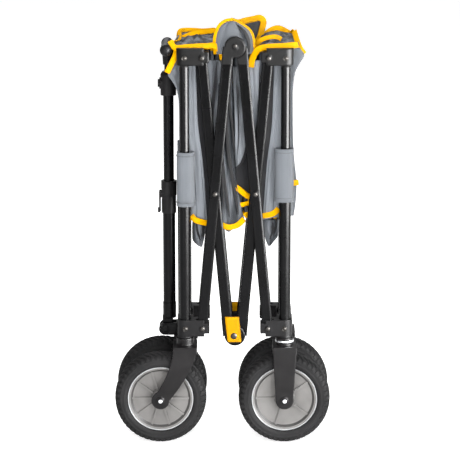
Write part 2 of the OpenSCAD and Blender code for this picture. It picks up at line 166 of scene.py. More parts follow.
def rim_silver():
    """Silver moulding whose flanks, which look across the axle, get painted shade: a dark colour mixed in by
    the way each face looks.
    """
    g = Graph("silver_rim_painted_flank_shade")
    facing = g.node("SeparateXYZ", {0: g.coords.outputs["Normal"]}).outputs[1]
    flat = g.ramp(g.math("ABSOLUTE", facing, 0.0), 0.0, 1.0, 0.55, 0.95)
    silver = g.ramp(g.noise(22, 4), (0.100, 0.096, 0.093), (0.140, 0.135, 0.131), 0.35, 0.7)
    # painted shade: the flanks take this dark colour in place of the silver
    colour = g.node("MixRGB", {0: flat, 1: (0.009, 0.0085, 0.0085, 1), 2: silver}).outputs[0]
    g.set(Base_Color=colour, Roughness=g.ramp(g.noise(60, 3), 0.38, 0.50, 0.3, 0.7), Specular_IOR_Level=0.15)
    g.bump(g.noise(500, 2), 0.15, 0.0002)
    return g.material


RIM = rim_silver()
LIP = painted("bright_rim_lip", (0.26, 0.265, 0.27), (0.32, 0.325, 0.33), 0.28, 0.36, gloss=0.2)
GREY = woven("grey_polyester", (0.080, 0.087, 0.097), (0.124, 0.134, 0.148), sheen=0.1)
# painted light: a lighter copy of the grey cloth, so the side panels look lit where posts, sleeves and bars
# shade them
LIT_PANEL = woven("grey_panels_painted_light", (0.120, 0.130, 0.144), (0.180, 0.194, 0.212), sheen=0.1)
# painted shade: near-black to light grey over tight upright streaks, standing for the shade in the creases of
# loose cloth
CREASE_SHADED = woven("polyester_painted_crease_shade", (0.012, 0.014, 0.017), (0.180, 0.193, 0.212), sheen=0.1, wrinkle=0.5,
                shade_streaks=(62, 0.13), lo=0.33, hi=0.56)
SLACK_SHADED = woven("slack_polyester_painted_shade", (0.012, 0.014, 0.017), (0.165, 0.177, 0.195), sheen=0.1, wrinkle=0.5,
              shade_streaks=(62, 0.13), lo=0.40, hi=0.64)
# painted shade: a darker copy of the grey cloth for the recessed gathered walls
SHADED_FOLDS = woven("grey_folds_painted_shade", (0.034, 0.039, 0.046), (0.085, 0.095, 0.108), sheen=0.1)
# the black lining, and painted shade: the same black on strips and sheets put where folds, pleats and gaps fall
# into shade
DARK = woven("black_lining_and_painted_shade", (0.008, 0.008, 0.009), (0.016, 0.016, 0.018), rough=0.75, sheen=0.1)
# dark grey for stitch lines, and painted shade on the small tip under the lobe hem
SHADE = woven("dark_grey_stitches_and_painted_shade", (0.030, 0.033, 0.038), (0.052, 0.057, 0.064), rough=0.7)
YELLOW = woven("yellow_binding", (0.54, 0.26, 0.0), (0.65, 0.32, 0.0), rough=0.9, pitch=0.0013, sheen=0.0,
               wrinkle=0.1, gloss=0.03)
WEBBING = woven("yellow_webbing", (0.41, 0.19, 0.0), (0.49, 0.235, 0.0), rough=0.9, pitch=0.0013, sheen=0.0,
                wrinkle=0.1, gloss=0.03)


def tyre_rubber():
    g = Graph("charcoal_rubber")
    g.set(Base_Color=g.ramp(g.noise(16, 4), (0.010, 0.010, 0.0103), (0.018, 0.0175, 0.018), 0.3, 0.7),
          Roughness=g.ramp(g.noise(90, 3), 0.60, 0.76, 0.3, 0.7), Specular_IOR_Level=0.03)
    g.bump(g.noise(420, 3), 0.35, 0.0004)
    return g.material


RUBBER = tyre_rubber()


# ------------------------------------------------------------------ building pieces
def piece(name, verts, faces, material):
    mesh = bpy.data.meshes.new(name)
    mesh.from_pydata([tuple(v) for v in verts], [], faces)
    mesh.materials.append(material)
    mesh.update()
    made = bpy.data.objects.new(name, mesh)
    bpy.context.scene.collection.objects.link(made)
    mesh.shade_smooth()
    return made


def apply_modifiers(obj):
    """Bakes an object's modifiers into its mesh."""
    graph = bpy.context.evaluated_depsgraph_get()
    mesh = bpy.data.meshes.new_from_object(obj.evaluated_get(graph))
    obj.modifiers.clear()
    old, obj.data = obj.data, mesh
    bpy.data.meshes.remove(old)
    return obj


def grid_faces(rows, cols, close_rows=False, close_cols=False):
    faces = []
    for i in range(rows if close_rows else rows - 1):
        for j in range(cols if close_cols else cols - 1):
            a, b = i * cols + j, i * cols + (j + 1) % cols
            c, d = ((i + 1) % rows) * cols + (j + 1) % cols, ((i + 1) % rows) * cols + j
            faces.append((a, b, c, d))
    return faces


def spin_profile(name, profile, material, steps=96, wobble=None, closed=True):
    """Turns a profile of (radius, y) round the Y axis; wobble(angle, k) moves a point's radius."""
    verts = []
    for i in range(steps):
        angle = TAU * i / steps
        for k, (r, y) in enumerate(profile):
            rr = r + (wobble(angle, k) if wobble else 0)
            verts.append((rr * math.cos(angle), y, rr * math.sin(angle)))
    return piece(name, verts, grid_faces(steps, len(profile), True, closed), material)


def thick(obj, amount, offset=0.0):
    solid = obj.modifiers.new("thick", "SOLIDIFY")
    solid.thickness, solid.offset = amount, offset
    return apply_modifiers(obj)


def catmull(points, per=8):
    """A smooth line through the points."""
    p = [Vector(q) for q in points]
    p = [p[0] * 2 - p[1], *p, p[-1] * 2 - p[-2]]
    out = []
    for i in range(1, len(p) - 2):
        for k in range(per):
            t = k / per
            a, b, c, d = p[i - 1], p[i], p[i + 1], p[i + 2]
            out.append(0.5 * ((2 * b) + (c - a) * t + (2 * a - 5 * b + 4 * c - d) * t * t
                              + (3 * b - a - 3 * c + d) * t * t * t))
    out.append(p[-2])
    return out


def tape(name, points, width, face, material=None, thickness=1.8, per=8, taper=False):
    """Binding tape along a line: a flat band with rounded edges. face is the way its flat side looks."""
    line = catmull([Vector(p) * MM for p in points], per)
    verts, rows = [], len(line)
    half, t = width * MM / 2, thickness * MM / 2
    section = [(-1, 0), (-0.93, 0.8), (-0.5, 1), (0.5, 1), (0.93, 0.8), (1, 0), (0.93, -0.8), (0.5, -1),
               (-0.5, -1), (-0.93, -0.8)]
    facing = Vector(face).normalized()
    for i, p in enumerate(line):
        along = (line[min(i + 1, rows - 1)] - line[max(i - 1, 0)]).normalized()
        out = (facing - along * facing.dot(along)).normalized()
        side = along.cross(out).normalized()
        share = 0.15 + 0.85 * math.sin(math.pi * i / (rows - 1)) ** 0.7 if taper else 1.0
        for a, b in section:
            verts.append(p + side * (a * half * share) + out * (b * t))
    n = len(section)
    faces = grid_faces(rows, n, False, True)
    faces += [tuple(range(n))[::-1], tuple(range((rows - 1) * n, rows * n))]
    return piece(name, verts, faces, material or YELLOW)


def dome_rivet(name, at, axis, r, h, material, body):
    """A round rivet head with a small flat, standing on a face."""
    ring = [(0.0, h), (0.35 * r, h), (0.62 * r, 0.9 * h), (0.86 * r, 0.62 * h), (0.98 * r, 0.25 * h),
            (r, 0.0), (r, -0.0006), (0.0, -0.0006)]
    made = spin_profile(name, ring, material, 24, closed=False)
    turn = Vector((0, 1, 0)).rotation_difference(Vector(axis)).to_matrix().to_4x4()
    made.data.transform(Matrix.Translation(Vector(at)) @ turn)
    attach(made, body)
    return made


# ------------------------------------------------------------------ the frame's materials
def paint(node, material):
    slots = NODES[node].data.materials
    slots.clear()
    slots.append(material)


def centre(node):
    low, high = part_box(node)
    return (low + high) / 2


def capped_steel(node, height):
    """Steel tube with a moulded end above a height in the row frame."""
    g = Graph("steel_and_hub_" + node)
    level = (NODES[node].matrix_world.inverted() @ Vector((0, 0, height))).z
    above = g.math("GREATER_THAN", g.node("SeparateXYZ", {0: g.coords.outputs["Object"]}).outputs[2], level)
    steel = g.ramp(g.noise(22, 4), STEEL_DARK, STEEL_LIGHT, 0.35, 0.7)
    moulded = g.ramp(g.noise(60, 4), (0.0030, 0.0029, 0.0030), (0.0056, 0.0054, 0.0055), 0.35, 0.7)
    colour = g.node("MixRGB", {0: above, 1: steel, 2: moulded}).outputs[0]
    g.set(Base_Color=colour, Roughness=g.ramp(above, 0.19, 0.42), Specular_IOR_Level=0.07)
    g.bump(g.noise(300, 2), 0.02, 0.00002, 0.0055)
    return g.material


CORNERS = ("fn", "ff", "rn", "rf")
TOP_HUB_Z, MIDDLE_CAP_Z = 0.7345, 0.7420    # where the moulded ends of the posts and bars begin
SIDE = {"fn": -1, "rn": -1, "ff": 1, "rf": 1}
for name in NODES:
    if name.startswith(("hub_low", "lower_lock", "upper_lock", "lock_lever", "grip", "release")):
        paint(name, PLASTIC)
    elif name.startswith(("caster", "fork")):
        paint(name, FORK)
    elif name.startswith("tyre"):
        paint(name, RUBBER)
    elif name.startswith("rim"):
        paint(name, RIM)
    elif name.startswith(("wall", "sleeve")):
        paint(name, GREY)
    elif name.startswith("floor"):
        paint(name, DARK)
    elif name.startswith("strap"):
        paint(name, YELLOW)
    elif name.startswith("upper"):
        paint(name, capped_steel(name, TOP_HUB_Z))
    elif name.startswith("rise"):
        paint(name, capped_steel(name, MIDDLE_CAP_Z))
    else:
        paint(name, STEEL)

# ------------------------------------------------------------------ tyres
RIM_R = 0.0635
SIDEWALL_R = 0.0785  # the sidewall is smooth inside this radius; the tread outside it has flat facets


def tyre(tag):
    """A pneumatic-looking tyre: faint sidewall ridges, and tread blocks that run over round shoulders."""
    c = centre("tyre_" + tag)
    half = 0.0225
    left = [(RIM_R + 0.0002, -half + 0.0045), (RIM_R + 0.0015, -half + 0.0015),
            (RIM_R + 0.004, -half + 0.0006)]
    for k in range(9):  # sidewall with two ridges
        r = RIM_R + 0.006 + k * 0.0012
        left.append((r, -half - (0.0004 if k in (1, 2, 6) else 0)))
    shoulder = [(0.0790, -half + 0.0002), (0.0792, -half - 0.0006), (0.0808, -half - 0.0004),
                (0.0824, -half + 0.0002),
                (0.0840, -half + 0.0014), (0.0856, -half + 0.0034), (0.0868, -half + 0.0058),
                (0.0876, -half + 0.0082)]
    middle = [(0.0880 + 0.0008 * math.cos((k / 14 - 0.5) * math.pi),
               -half + 0.0105 + k / 14 * (2 * half - 0.021))
              for k in range(15)]
    profile = left + shoulder + middle + [(r, -y) for r, y in (left + shoulder)[::-1]]
    first, lugs, steps = len(left) + 1, 48, 768
    verts = []
    for i in range(steps):
        turn = TAU * i / steps
        for k, (r, y) in enumerate(profile):
            far_k = len(profile) - 1 - k
            dr = dy = 0.0
            if min(k, far_k) >= first:
                slant = min(abs(y), 0.017) * 70
                phase = (lugs * i / steps + slant + (0.5 if y > 0 else 0)) % 1
                groove = min(1, max(0, (abs(phase - 0.5) - 0.26) / 0.05))
                on_shoulder = min(k, far_k) < len(left) + len(shoulder) - 2
                dr = -(0.0018 if on_shoulder else 0.0030) * groove
                dy = -math.copysign(0.0013, y) * groove if on_shoulder else 0.0
                if abs(y) < 0.0016:
                    dr = -0.0022
            verts.append(((r + dr) * math.cos(turn), y + dy, (r + dr) * math.sin(turn)))
    made = piece("tyre_tread_" + tag, verts, grid_faces(steps, len(profile), True, True), RUBBER)
    made.data.shade_flat()
    for face in made.data.polygons:
        face.use_smooth = math.hypot(face.center.x, face.center.z) < SIDEWALL_R
    made.data.transform(Matrix.Translation(c))
    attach(made, "wheel_" + tag)
    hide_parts("tyre_" + tag)


for tag in CORNERS:
    tyre(tag)
    c = centre("rim_" + tag)
    for side in (-1, 1):
        lip = spin_profile(f"rim_lip_{tag}_{'a' if side < 0 else 'b'}",
                           [(0.0612, 0.0183 * side), (0.0618, 0.0192 * side), (0.0630, 0.0194 * side),
                            (0.0636, 0.0186 * side), (0.0634, 0.017 * side), (0.0615, 0.017 * side)], LIP, 96)
        lip.data.transform(Matrix.Translation(c))
        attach(lip, "wheel_" + tag)


# ------------------------------------------------------------------ cloth: tools
HEM = 10            # width of the yellow binding, mm
WALL_LOW, WALL_TOP = 438, 772
NEAR, FAR = -1, 1
# heights, m, given with the loose cloth's bodies; lay does not use them
FOOT_Z, UNDER_TRAY_Z, HOOD_Z, LOOP_Z, BINDING_Z = 0.438, 0.752, 0.762, 0.768, 0.774
FRONT_FOOT_Z, REAR_FOOT_Z = 0.439, 0.441


def lay(obj, span):
    """Attaches a piece to one body; a (body, height) span gives it its own mesh on that body and leaves the
    height unused; a longer span only bakes its place.
    """
    if isinstance(span, str):
        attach(obj, span)
    elif len(span) == 2:
        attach(obj, span[0])
        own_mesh(obj)
    else:
        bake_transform(obj)
    return obj


def spans(side):
    """The bodies and offsets given for a side wall, front to rear; lay only bakes the wall in place."""
    front, rear = ("top_fn", "near_rear_cloth") if side == NEAR else ("top_ff", "far_rear_cloth")
    return front, rear, (-0.056, 0, 0), (0.104, 0, 0)


FRONT_SPAN = ("top_fn", "front_far_cloth", (0, -0.041, 0), (0, 0.041, 0))
REAR_SPAN = ("top_rn", "rear_far_cloth", (0, -0.041, 0), (0, 0.041, 0))


def wander(*at):
    return noise.noise(Vector((*at, 0.37, 0.71)[:3]))


def resample(line, count):
    """The same line as evenly spaced points."""
    steps = [0.0]
    for a, b in zip(line, line[1:]):
        steps.append(steps[-1] + (b - a).length)
    out, k = [], 0
    for i in range(count):
        want = steps[-1] * i / (count - 1)
        while k < len(line) - 2 and steps[k + 1] < want:
            k += 1
        span = steps[k + 1] - steps[k] or 1
        out.append(line[k].lerp(line[k + 1], min(1, max(0, (want - steps[k]) / span))))
    return out


def ruled(name, a, b, material, across=14, along=60, push=None, direction=(0, -1, 0), thickness=0.9,
          sideways=None):
    """Cloth between two smooth lines through points in mm; push(u, v) lifts it in mm."""
    first, last = (resample(catmull([Vector(p) * MM for p in line], 10), along) for line in (a, b))
    verts = []
    for i in range(along):
        for j in range(across + 1):
            v = j / across
            p = first[i].lerp(last[i], v)
            if push:
                p = p + Vector(direction) * (MM * push(i / (along - 1), v))
            if sideways:
                p = p + Vector(sideways[0]) * (MM * sideways[1](i / (along - 1), v))
            verts.append(p)
    made = piece(name, verts, grid_faces(along, across + 1), material)
    return thick(made, thickness * MM)


def pleats(x0, x1, middle, depth, folds, turn, height, seed, per=14, recess=0.0):
    """A gathered line in plan: rounded folds that nearly close on themselves, each a little different."""
    points, x, y = [], 0.0, 0.0
    count = folds * per
    for i in range(count + 1):
        points.append((x, y))
        angle = turn * math.cos(TAU * folds * (i + 0.5) / count)
        x += math.cos(angle)
        y += math.sin(angle)
    wide = points[-1][0]
    tall = max(abs(p[1]) for p in points)
    out = []
    for i, (x, y) in enumerate(points):
        u = i / count
        fold = u * folds
        deep = 1 + 0.16 * wander(fold * 0.9, height * 1.4, seed)
        shift = 2.2 * wander(fold * 0.45, height * 2.2,
                             seed + 7) * math.sin(math.pi * min(1, 12 * min(u, 1 - u)) / 2)
        lean = 1.6 * wander(fold * 0.3, height * 1.1, seed + 3) * min(1, 8 * min(u, 1 - u))
        lean -= math.copysign(recess, middle) * math.sin(math.pi * u) ** 0.7
        out.append((x0 + (x1 - x0) * x / wide + shift, middle + depth / 2 * y / tall * min(deep, 1.0) + lean))
    return out


def gathered(name, along_x, x0, x1, middle, depth, folds, turn, z0, z1, seed, span, nodes, tops=YELLOW,
             foots=YELLOW, cloth=None, sag=3.0, recess=0.0, per=14, rows=42):
    """A wall or floor of cloth gathered into upright folds, with binding along both edges."""
    verts = []
    hem = HEM / (z1 - z0)
    levels = sorted({0, hem, 1 - hem, 1, *[k / (rows - 1) for k in range(rows)]})
    for h in levels:
        for a, b in pleats(x0, x1, middle, depth, folds, turn, h * 3, seed, per, recess):
            drop = sag * wander(a * 0.05, seed, 0.5) * ((1 - h) ** 2 + h ** 2)
            z = z0 + (z1 - z0) * h + drop
            p = (a, b, z) if along_x else (b, a, z)
            verts.append(tuple(c * MM for c in p))
    count = folds * per + 1
    # the walls take the darker grey by default: painted shade of their recess
    made = piece(name, verts, grid_faces(len(levels), count), cloth or SHADED_FOLDS)
    made.data.materials.append(tops or GREY)
    made.data.materials.append(foots or GREY)
    for face in made.data.polygons:
        row = face.index // (count - 1)
        if tops and levels[row] >= 1 - hem - 1e-6:
            face.material_index = 1
        elif foots and levels[row + 1] <= hem + 1e-6:
            face.material_index = 2
    thick(made, 0.8 * MM)
    lay(made, span)
    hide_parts(*nodes)
    return made


def trim(name, points, face, span, width=HEM, thickness=2.0, material=None):
    made = tape(name, points, width, face, material, thickness)
    lay(made, span)
    return made


def cloth_piece(made, span, nodes=()):
    lay(made, span)
    if nodes:
        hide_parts(*nodes)
    return made


# ------------------------------------------------------------------ cloth: gathered walls and floor
gathered("wall_near", True, -55, 103, -30, 17, 17, 1.88, WALL_LOW, WALL_TOP, 1.3, spans(NEAR),
         ["wall_corner", "wall_near_rear"], recess=4)
gathered("wall_far", True, -55, 103, 30, 17, 17, 1.88, WALL_LOW, WALL_TOP, 5.1, spans(FAR),
         ["wall_far_front", "wall_far_rear"], recess=4)
gathered("wall_front", False, -34, 36, -48, 15, 9, 1.88, WALL_LOW, WALL_TOP - 2, 9.7, FRONT_SPAN,
         ["wall_front_far"])
gathered("wall_rear", False, -34, 36, 97, 15, 9, 1.88, WALL_LOW, WALL_TOP - 2, 12.2, REAR_SPAN,
         ["wall_rear_near", "wall_rear_far"])
FLOOR_Z = 444
gathered("floor_near_cloth", True, -36, 84, -11.5, 17, 16, 1.92, FLOOR_Z, FLOOR_Z + 156, 21.5,
         ("floor_near", "floor_near_rear", (-0.040, 0, 0), (0.088, 0, 0)),
         ["floor_near", "floor_near_rear"], None, None, DARK, 1.0, 0.0, 12, 24)
gathered("floor_far_cloth", True, -36, 84, 11.5, 17, 16, 1.92, FLOOR_Z, FLOOR_Z + 230, 31.5,
         ("floor_far", "floor_far_rear", (-0.040, 0, 0), (0.088, 0, 0)),
         ["floor_far", "floor_far_rear"], None, None, DARK, 1.0, 0.0, 12, 30)


def panel(name, a, b, span, material=None, held="hung", which="wall_cloth", wide=1.0, **how):
    """A sheet ruled between two edges and laid on its span."""
    made = ruled(name, a, b, material or GREY, **how)
    first, last = (resample(catmull([Vector(p) * MM for p in line], 8), 9) for line in (a, b))
    return cloth_piece(made, span, ())


MIDDLE_X = 24       # the middle of a side, mm


def flip(points):
    """The same points at the other end of the side, front to rear."""
    return [(2 * MIDDLE_X - x, y, z) for x, y, z in points]


def ripple(count, depth, seed, slow=0.5):
    """Soft folds along a panel: lifts in mm."""
    return lambda u, v: depth * (math.sin(TAU * count * v + 2.2 * wander(u * 1.6, seed)) * 0.6
                                 + wander(u * 2.1 * slow, v * 4, seed + 2) * 0.9) * min(1, 7 * v,
                                         7 * (1 - v)) ** 0.5


# sleeves that hold the tub to the posts
def sleeve(tag, z0, z1, seed):
    x, y, _ = centre("post_" + tag)
    s = SIDE[tag]
    inward = 1 if x < 0 else -1
    ring = []
    for k in range(56):
        a = TAU * k / 56
        c, d = math.cos(a), math.sin(a)
        px = math.copysign(abs(c) ** 0.8, c) * 17.2 + 2.2
        py = math.copysign(abs(d) ** 0.85, d) * 13.6
        ring.append((px, py))
    verts, levels = [], 22
    for i in range(levels):
        h = i / (levels - 1)
        for k, (px, py) in enumerate(ring):
            grow = 1 + 0.022 * wander(h * 2.6, k * 0.14, seed) + 0.012 * math.exp(-((h - 0.02) / 0.04) ** 2)
            sink = 0.9 * wander(k * 0.11, h * 3, seed + 4)
            verts.append((x + MM * inward * (px * grow), y + s * MM * (py * grow),
                          MM * (z0 + (z1 - z0) * h + sink * (h - 0.5))))
    made = piece("sleeve_" + tag, verts, grid_faces(levels, len(ring), False, True), GREY)
    thick(made, 1.0 * MM, 1.0)
    cloth_piece(made, "top_" + tag,
                ["sleeve_rf"] if tag == "rf" else ())
    # stitched hem and seam
    for label, z in (("low", z0 + 8), ("high", z1 - 7)):
        line = [((x / MM + inward * px * 1.068), (y / MM + s * py * 1.07), z + 0.4 * wander(k, seed)) for k,
                (px, py) in enumerate(ring)]
        line.append(line[0])
        stitch = tape(f"stitch_{label}_{tag}", line[::2] + [line[0]], 0.9, (0, 0, 1), SHADE, 0.9, 2)
        lay(stitch, "top_" + tag)
    return made


sleeve("fn", 468, 573, 1.0)
sleeve("ff", 468, 573, 2.0)
sleeve("rn", 477, 580, 3.0)
sleeve("rf", 477, 580, 4.0)

LEFT_INNER = [(-50, -42, 744), (-49, -42, 690), (-46, -42.5, 620), (-38, -43, 554), (-32, -43, 480),
              (-29, -42.5, 437)]
LEFT_OUTER = [(-64, -40.5, 744), (-64, -41, 690), (-64, -42, 600), (-62, -43, 560), (-60, -44, 480),
              (-60, -43, 444)]
LEFT_FOOT = [(-60, -44.5, 446), (-52, -45.5, 438), (-43, -45, 434), (-29, -44, 431)]


def both(points, side):
    """Points written for the near side, moved to the given side."""
    return [(x, y if side == NEAR else -y, z) for x, y, z in points]


for side, label in ((NEAR, "near"), (FAR, "far")):
    front, rear = ("top_fn", "top_rn") if side == NEAR else ("top_ff", "top_rf")
    seed = 3.0 if side == NEAR else 8.0
    out = (0, side, 0)
    panel(f"panel_front_{label}", both(LEFT_OUTER, side), both(LEFT_INNER, side), front, material=LIT_PANEL,
          push=ripple(1.5, 1.8, seed), direction=out)
    panel(f"panel_rear_{label}", both(flip(LEFT_OUTER), side), both(flip(LEFT_INNER), side), rear,
          material=LIT_PANEL, push=ripple(1.7, 1.8, seed + 1), direction=out)
    for k, share in enumerate((0.35, 0.86)):
        seam = [tuple(Vector(p).lerp(Vector(q), share) - Vector((0, 2.2, 0))) for p,
                q in zip(LEFT_OUTER, LEFT_INNER)][3:]
        for place, line, body in (("front", seam, front), ("rear", flip(seam), rear)):
            lay(tape(f"seam_{place}_{label}_{k}", both(line, side), 0.8, out, SHADE, 0.7), body)
    gap = [(-38, -40, 744), (-34, -40, 690), (-30, -40, 620), (-24, -40, 540), (-20, -40, 480),
           (-17, -40, 446)]
    # black sheets in the gaps beside the panels: the real black lining where the cloth turns inside out, and
    # painted shade for the dark gaps
    panel(f"lining_and_shade_front_{label}", both([(x - 2, y + 2, z) for x, y, z in LEFT_INNER], side), both(gap, side),
          front, material=DARK, across=6)
    panel(f"lining_and_shade_rear_{label}", both(flip([(x - 2, y + 2, z) for x, y, z in LEFT_INNER]), side),
          both(flip(gap), side), rear, material=DARK, across=6)
    trim(f"foot_front_{label}", both(LEFT_FOOT, side), out, (front, FRONT_FOOT_Z), 11)
    trim(f"foot_rear_{label}", both([(x, y, z + 14) for x, y, z in flip(LEFT_FOOT)], side), out,
         (rear, REAR_FOOT_Z), 11)


# sagging corners of the floor below the side panels
BAG_DRAWN = 0.4352  # height, m, given for the bags, between the hubs and the walls' binding; lay does not use it


def bag(name, outline, y_mid, depth, body, seed):
    """A limp pouch: rings that close to a creased point. outline rows are (z, left, right)."""
    verts, around = [], 40
    rows = resample(catmull([Vector((l, r, z)) for z, l, r in outline], 8), 26)
    for i, row in enumerate(rows):
        h = i / (len(rows) - 1)
        deep = depth * (1 - 0.55 * h ** 2)
        for k in range(around):
            a = TAU * k / around
            c, d = math.cos(a), math.sin(a)
            px = (row.x + row.y) / 2 + (row.y - row.x) / 2 * math.copysign(abs(c) ** 0.75, c)
            crease = 1 + 0.55 * wander(c * 1.7 + 3, h * 2.2, d * 1.3 + seed) * (0.3 + h)
            py = y_mid + deep / 2 * d * crease + 2.2 * wander(h * 3, c * 2.1, seed + 9) * h
            verts.append((px * MM, py * MM, (row.z + 1.5 * wander(c * 2, d * 2, seed) * h) * MM))
    faces = grid_faces(len(rows), around, False, True)
    last = (len(rows) - 1) * around
    faces.append(tuple(range(last, last + around)))
    made = piece(name, verts, faces, SLACK_SHADED)
    thick(made, 0.8 * MM)
    lay(made, (body, BAG_DRAWN))
    return made


LEFT_BAG = [(437, -57, -31), (424, -58, -31), (408, -58, -34), (396, -57, -36), (388, -50, -38),
            (383, -43, -39)]
RIGHT_BAG = [(437, 78, 109), (432, 78, 109), (415, 80, 108), (402, 82, 106), (392, 85, 98), (385, 88, 93)]
for side, label in ((NEAR, "near"), (FAR, "far")):
    front, rear = ("top_fn", "top_rn") if side == NEAR else ("top_ff", "top_rf")
    bag(f"bag_front_{label}", LEFT_BAG, 33 * side, 17, front, 2.0 + side)
    bag(f"bag_rear_{label}", RIGHT_BAG, 33 * side, 17, rear, 5.0 + side)
    # dark tapered strips on the bags: painted shadows of their creases
    for k, (line, body) in enumerate((([(-50, 436), (-48, 415), (-42, 396)], front),
                                      ([(-38, 434), (-37, 418), (-40, 400)], front),
                                      ([(95, 436), (97, 418), (91, 398)], rear),
                                      ([(104, 440), (102, 424), (98, 406)], rear))):
        made = tape(f"bag_crease_shadow_{label}_{k}", [(x, side * 42.5, z) for x, z in line], 4.5, (0, side, 0),
                    DARK, 1.0, taper=True)
        lay(made, (body, BAG_DRAWN))

# lobes of cloth that hang in the middle of each side
for side, label in ((NEAR, "near"), (FAR, "far")):
    out = (0, side, 0)
    front, rear = ("top_fn", "top_rn") if side == NEAR else ("top_ff", "top_rf")
    span, under_top, rear_top = (front, FOOT_Z), (front, UNDER_TRAY_Z), (rear, UNDER_TRAY_Z)
    panel(f"lobe_long_{label}",
          both([(-10, -41, 700), (-9, -41, 620), (-5, -42, 556), (-2, -42, 500), (0, -42, 430)], side),
          both([(12, -40, 700), (20, -41, 620), (23, -42, 540), (28, -43, 505), (34, -43, 470),
                (42, -42, 440)], side), span,
          material=SLACK_SHADED, push=lambda u, v: 2.8 * math.sin(TAU * (1.7 * v + 0.35 * u)) * min(1, 6 * v,
                  6 * (1 - v)) + 1.0 * u * math.sin(math.pi * v)
          - 5.0 * math.exp(-((v - 0.42 - 0.1 * u) / 0.07) ** 2) * (1 - u ** 3), direction=out,
          sideways=((0, 0, 1), lambda u, v: -9 * math.sin(math.pi * v) * u ** 8))
    panel(f"fold_front_{label}",
          both([(-34, -40, 746), (-32, -40.5, 690), (-28, -41, 620), (-21, -41, 540), (-16, -41, 500)], side),
          both([(3, -40, 746), (-4, -40.5, 690), (-9, -41, 650), (-14, -41, 560), (-9, -41, 500)], side),
          under_top, material=CREASE_SHADED, push=lambda u,
          v: 3 * math.sin(math.pi * v) - 3.5 * math.exp(-((v - 0.62 + 0.2 * u) / 0.08) ** 2), direction=out)
    panel(f"fold_rear_{label}",
          both([(44, -40, 746), (50, -40.5, 690), (54, -41, 650), (60, -41, 560), (57, -41, 500)], side),
          both([(76, -40, 746), (77, -40.5, 690), (74, -41, 620), (68, -41, 540), (64, -41, 500)], side),
          rear_top, material=CREASE_SHADED, push=lambda u,
          v: 3 * math.sin(math.pi * v) - 3.5 * math.exp(-((v - 0.4 + 0.2 * u) / 0.08) ** 2), direction=out)
    trim(f"lobe_hem_{label}",
         both([(0, -44, 427), (8, -45, 424), (16, -46, 423.5), (30, -45.5, 428), (42, -43, 439)], side), out,
         span, 11)
    trim(f"lobe_hem_back_{label}",
         both([(42, -41, 444), (47, -38, 447), (52, -34, 440), (54, -30, 434)], side), out, span, 9)
    # the small tip under the hem is dark grey: painted shade
    panel(f"lobe_tip_{label}", both([(2, -40, 432), (12, -41, 430), (23, -40, 432)], side),
          both([(3, -39, 419), (12, -40, 413), (21, -39, 419)], side), span, material=SHADE, along=20,
          across=6)
    panel(f"lobe_short_{label}",
          both([(20, -42, 735), (22, -43, 680), (24, -44, 620), (24, -44, 575), (26, -43.5, 541)], side),
          both([(33, -42, 735), (39, -43, 680), (45, -44, 630), (45, -45, 582), (34, -44.5, 549)], side),
          under_top, material=CREASE_SHADED, push=lambda u,
          v: 2.4 * math.sin(math.pi * v) - 2.6 * math.exp(-((v - 0.6) / 0.08) ** 2) * (1 - u), direction=out)
    # the sheet under the short lobe wears the black lining colour: painted shade
    panel(f"lobe_back_{label}", both([(26, -39.5, 560), (26, -40, 530), (27, -40, 503)], side),
          both([(53, -39, 590), (53, -40, 540), (52, -40, 488)], side), span, material=DARK, along=26,
          push=lambda u, v: 2 * math.sin(math.pi * v) * (1 - u), direction=out)
    trim(f"lobe_back_hem_{label}",
         both([(26, -41.5, 501), (33, -42.5, 496), (44, -42.5, 487), (53, -41.5, 481)], side), out, span, 11)
    trim(f"lobe_low_hem_{label}", both([(31, -40.5, 466), (40, -40.5, 467), (53, -40, 471)], side), out, span,
         9)

# painted shadows of deep narrow pleats between the lobes: dark tapered strips
HIGH_PLEAT = 528    # mm; a pleat shadow strip that ends above this is given the under-tray height, which lay does not use
PLEAT_SHADOWS = [
    ([(-34, 720), (-31, 640), (-28, 585), (-24, 520)], 5.0),
    ([(-10, 745), (-15, 690), (-19, 640), (-23, 570)], 6.0),
    ([(9, 670), (9, 610), (12, 565), (19, 520), (26, 480), (31, 448)], 7.0),
    ([(1, 570), (4, 520), (9, 480), (14, 442)], 5.0), ([(-7, 640), (-4, 570), (1, 510), (3, 460)], 5.0),
    ([(35, 740), (42, 690), (48, 640), (48, 590), (40, 556), (27, 538)], 6.5),
    ([(27, 700), (30, 650), (31, 600), (29, 565)], 3.0), ([(50, 735), (54, 670), (58, 610), (60, 550)], 5.0),
    ([(71, 735), (70, 670), (66, 600), (61, 520)], 4.0),
    ([(20, 740), (15, 700), (14, 660), (19, 620), (23, 570)], 5.0)]
for side, label in ((NEAR, "near"), (FAR, "far")):
    for k, (line, width) in enumerate(PLEAT_SHADOWS):
        made = tape(f"pleat_shadow_{label}_{k}", [(x, side * 46.5, z) for x, z in line], width, (0, side, 0), DARK,
                    1.0, taper=True)
        lay(made, ("top_fn" if side == NEAR else "top_ff",
                   UNDER_TRAY_Z if line[-1][1] > HIGH_PLEAT else FOOT_Z))

# ------------------------------------------------------------------ cloth: the gathered top
def top_tray(name, near_edge, far_edge, span, seed):
    """The crumpled inside of a gathered end, seen from above."""
    return panel(name, near_edge, far_edge, span, material=SLACK_SHADED, held="gathered", along=70, across=60,
                 wide=1.06,
                 push=lambda u, v: (3.4 * wander(u * 7.5 + v * 1.1, v * 1.4, seed) + 2.0 * wander(u * 15,
                         v * 3, seed + 5) + 0.5)
                 * min(1, 9 * v, 9 * (1 - v)), direction=(0, 0, 1))


